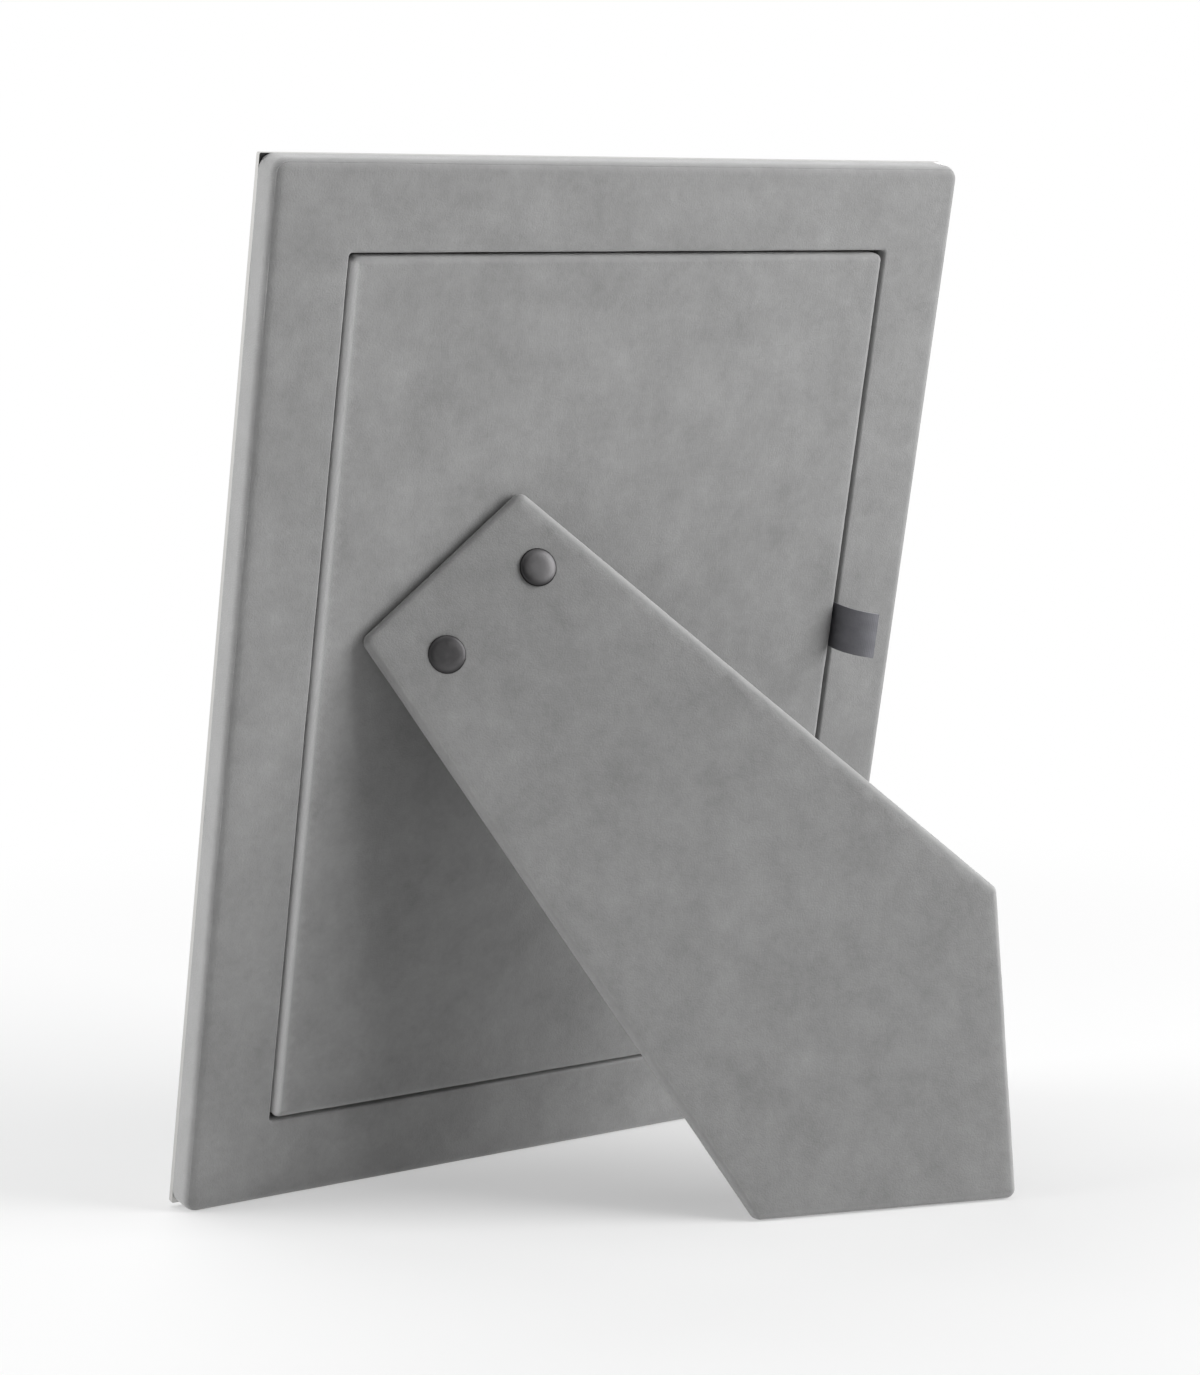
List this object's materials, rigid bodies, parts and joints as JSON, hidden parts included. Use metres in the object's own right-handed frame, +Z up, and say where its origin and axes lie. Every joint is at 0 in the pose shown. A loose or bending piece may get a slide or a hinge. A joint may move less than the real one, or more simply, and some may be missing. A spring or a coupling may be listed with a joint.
{
  "type": "strut-back photo frame",
  "caption": "Free-standing photo frame seen with its velvet-covered back: a lift-out back panel with a ribbon pull tab and a folding strut on a slanted hinge.",
  "frame": {"origin": "middle of the standing frame's box, on the surface that it stands on", "axes": "+Z up, the picture faces -Y and the velvet back faces +Y, X runs across the frame"},
  "size_m": [0.17, 0.0984, 0.215],
  "materials": {
    "grey_velvet": "short dense pile, matt with a soft sheen at grazing angles",
    "ribbon_satin": "satin weave, soft lengthwise shine",
    "silver_plate": "silver plate, softly polished",
    "nickel_plate": "black nickel plate, satin",
    "hinge_steel": "zinc-plated steel, rolled",
    "fibreboard": "black-dyed fibreboard, sanded",
    "hardboard": "hardboard, smooth face",
    "lining_paper": "matt black lining paper",
    "clear_glass": "clear float glass, polished edges",
    "print_paper": "satin photo paper with a plain made-up view of hills",
    "grey_card": "uncoated grey card"
  },
  "bodies": {
    "frame": {"front_moulding": "silver_plate", "ring_core": "fibreboard", "ring_velvet": "grey_velvet", "glass_pane": "clear_glass", "photo_print": "print_paper", "backing_card": "grey_card"},
    "back_panel": {"panel_board": "hardboard", "panel_velvet": "grey_velvet", "panel_lining": "lining_paper", "ribbon_leg": "ribbon_satin", "hinge_base_leaf": "hinge_steel", "hinge_pin": "hinge_steel", "base_rivets": "hinge_steel"},
    "strut": {"strut_board": "hardboard", "strut_velvet": "grey_velvet", "strut_lining": "lining_paper", "hinge_strut_leaf": "hinge_steel", "strut_rivet_posts": "nickel_plate", "strut_rivet_caps": "nickel_plate"},
    "ribbon": {"ribbon_tail": "ribbon_satin"}
  },
  "joints": [
    {"name": "panel_lift", "type": "slide", "parent": "frame", "child": "back_panel", "axis": [0, 0.9812, -0.1931], "range_m": [0, 0.06]},
    {"name": "strut_fold", "type": "hinge", "parent": "back_panel", "child": "strut", "pos_m": [0.035, -0.01403, 0.12771], "axis": [-0.7609, 0.1253, 0.6366], "range_deg": [0, 29]},
    {"name": "ribbon_flex", "type": "hinge", "parent": "back_panel", "child": "ribbon", "pos_m": [-0.0666, -0.01869, 0.11364], "axis": [0, 0.1931, 0.9812], "range_deg": [-56, 66]}
  ]
}
